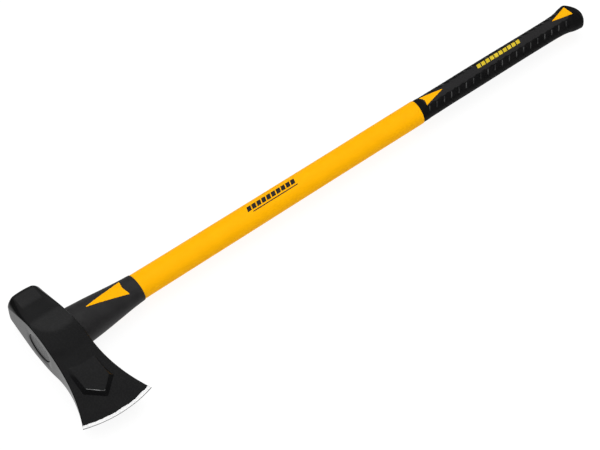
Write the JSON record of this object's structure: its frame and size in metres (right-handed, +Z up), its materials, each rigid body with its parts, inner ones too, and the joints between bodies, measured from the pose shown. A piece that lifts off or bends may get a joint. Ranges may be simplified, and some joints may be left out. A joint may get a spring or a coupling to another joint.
{
  "type": "splitting maul",
  "caption": "Splitting maul: wedge-shaped steel head with a square-chamfered poll and flared edge, on a long oval fibreglass handle with rubber collar and grip.",
  "frame": {"origin": "on the surface that the maul lies on, under the middle of the whole tool", "axes": "+X along the handle from head to butt, +Y from the edge towards the poll, +Z up out of the upper cheek"},
  "size_m": [0.9376, 0.209, 0.06],
  "materials": {
    "head_paint": "black gloss lacquer on forged steel, bare ground bevel at the edge",
    "fibreglass": "pultruded glass fibre in resin",
    "yellow_plastic": "satin moulded polypropylene",
    "black_rubber": "soft-touch moulded rubber, fine texture",
    "resin": "cast epoxy, dark",
    "foam_rubber": "closed-cell foam rubber"
  },
  "bodies": {
    "root": {"maul_head": "head_paint", "fibreglass_core": "fibreglass", "handle_jacket": "yellow_plastic", "head_collar": "black_rubber", "grip_sleeve": "black_rubber", "eye_resin": "resin", "resin_dam": "foam_rubber"}
  },
  "joints": []
}
